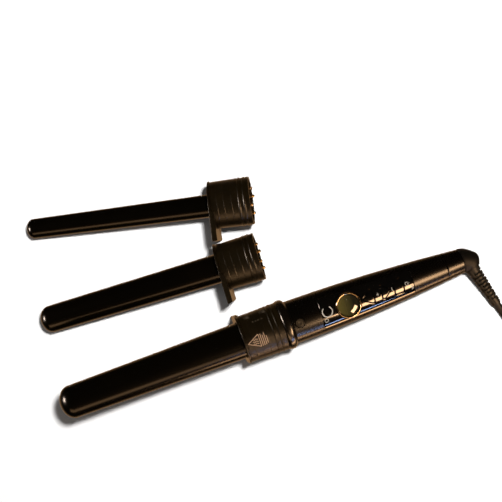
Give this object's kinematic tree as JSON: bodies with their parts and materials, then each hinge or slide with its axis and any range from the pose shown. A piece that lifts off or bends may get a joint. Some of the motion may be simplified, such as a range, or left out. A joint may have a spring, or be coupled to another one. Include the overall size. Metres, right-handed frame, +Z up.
{
  "type": "curling iron",
  "caption": "Curling wand with interchangeable heated barrels, a display and keys on the handle, and a swivelling mains lead.",
  "frame": {"origin": "centre of the fitted barrel's rest foot, on the table", "axes": "+X from the barrel's tip towards the tail, +Z up"},
  "size_m": [0.4957, 0.2844, 0.0601],
  "materials": {
    "black_satin_plastic": "satin",
    "black_gloss_plastic": "polished",
    "black_matte_plastic": "matte",
    "black_ceramic": "ceramic coated",
    "chrome": "polished",
    "brass": "bright",
    "aluminium": "extruded",
    "heater_ceramic": "sintered",
    "board_green": "solder mask",
    "steel": "zinc plated",
    "display_lens": "tinted",
    "black_rubber": "matte"
  },
  "bodies": {
    "handle": {"socket_block": "black_matte_plastic", "release_spring": "steel", "handle_upper_shell": "black_satin_plastic", "handle_lower_shell": "black_satin_plastic", "control_panel": "black_gloss_plastic", "shell_screw_front": "steel", "shell_screw_rear": "steel", "up_switch": "black_matte_plastic", "down_switch": "black_matte_plastic", "power_switch": "black_matte_plastic", "circuit_board": "board_green", "display_bezel": "chrome", "display_lens": "display_lens", "lcd_module": "black_matte_plastic", "tail_collar": "black_satin_plastic", "cord_lead": "black_rubber", "cord_tail": "black_rubber", "cord_coil": "black_rubber", "coil_tie": "black_rubber", "plug_body": "black_rubber", "plug_blade_a": "brass", "plug_blade_b": "brass"},
    "lock_ring": {"lock_ring": "black_satin_plastic"},
    "release_button": {"release_button": "black_satin_plastic"},
    "up_button": {"up_button": "black_gloss_plastic"},
    "down_button": {"down_button": "black_gloss_plastic"},
    "power_button": {"power_button": "black_gloss_plastic"},
    "swivel": {"swivel_cap": "black_matte_plastic", "swivel_rotor": "black_matte_plastic", "strain_relief": "black_rubber"},
    "large_barrel": {"large_tube": "black_ceramic", "large_sleeve": "black_matte_plastic", "large_foot": "black_matte_plastic", "large_base": "black_matte_plastic", "large_pin_1": "brass", "large_pin_2": "brass", "large_pin_3": "brass", "large_pin_4": "brass", "large_heat_spreader": "aluminium", "large_ptc_heater": "heater_ceramic"},
    "medium_barrel": {"medium_tube": "black_ceramic", "medium_sleeve": "black_matte_plastic", "medium_foot": "black_matte_plastic", "medium_base": "black_matte_plastic", "medium_pin_1": "brass", "medium_pin_2": "brass", "medium_pin_3": "brass", "medium_pin_4": "brass", "medium_heat_spreader": "aluminium", "medium_ptc_heater": "heater_ceramic"},
    "small_barrel": {"small_tube": "black_ceramic", "small_sleeve": "black_matte_plastic", "small_foot": "black_matte_plastic", "small_base": "black_matte_plastic", "small_pin_1": "brass", "small_pin_2": "brass", "small_pin_3": "brass", "small_pin_4": "brass", "small_heat_spreader": "aluminium", "small_ptc_heater": "heater_ceramic"}
  },
  "joints": [
    {"name": "barrel_pull", "type": "slide", "parent": "handle", "child": "large_barrel", "axis": [-0.9951, 0, 0.0987], "range_m": [0, 0.04]},
    {"name": "lock_ring_turn", "type": "hinge", "parent": "handle", "child": "lock_ring", "pos_m": [0.04121, 0, 0.02707], "axis": [0.9951, 0, -0.0987], "range_deg": [0, 30]},
    {"name": "release_press", "type": "slide", "parent": "handle", "child": "release_button", "axis": [-0.0981, 0.1045, -0.9897], "range_m": [0, 0.0011], "stiffness_N_per_m": 2000, "springref_m": -0.0005},
    {"name": "up_press", "type": "slide", "parent": "handle", "child": "up_button", "axis": [-0.0981, 0.1045, -0.9897], "range_m": [0, 0.0007], "stiffness_N_per_m": 1500, "springref_m": -0.0003},
    {"name": "down_press", "type": "slide", "parent": "handle", "child": "down_button", "axis": [-0.0981, 0.1045, -0.9897], "range_m": [0, 0.0007], "stiffness_N_per_m": 1500, "springref_m": -0.0003},
    {"name": "power_press", "type": "slide", "parent": "handle", "child": "power_button", "axis": [-0.0981, 0.1045, -0.9897], "range_m": [0, 0.0007], "stiffness_N_per_m": 1500, "springref_m": -0.0003},
    {"name": "cord_swivel", "type": "hinge", "parent": "handle", "child": "swivel", "pos_m": [0.20432, 0, 0.0109], "axis": [-0.9951, 0, 0.0987], "continuous": true},
    {"name": "medium_barrel_lift", "type": "slide", "parent": "handle", "child": "medium_barrel", "axis": [0, 0, 1], "range_m": [0, 0.1]},
    {"name": "small_barrel_lift", "type": "slide", "parent": "handle", "child": "small_barrel", "axis": [0, 0, 1], "range_m": [0, 0.1]}
  ]
}
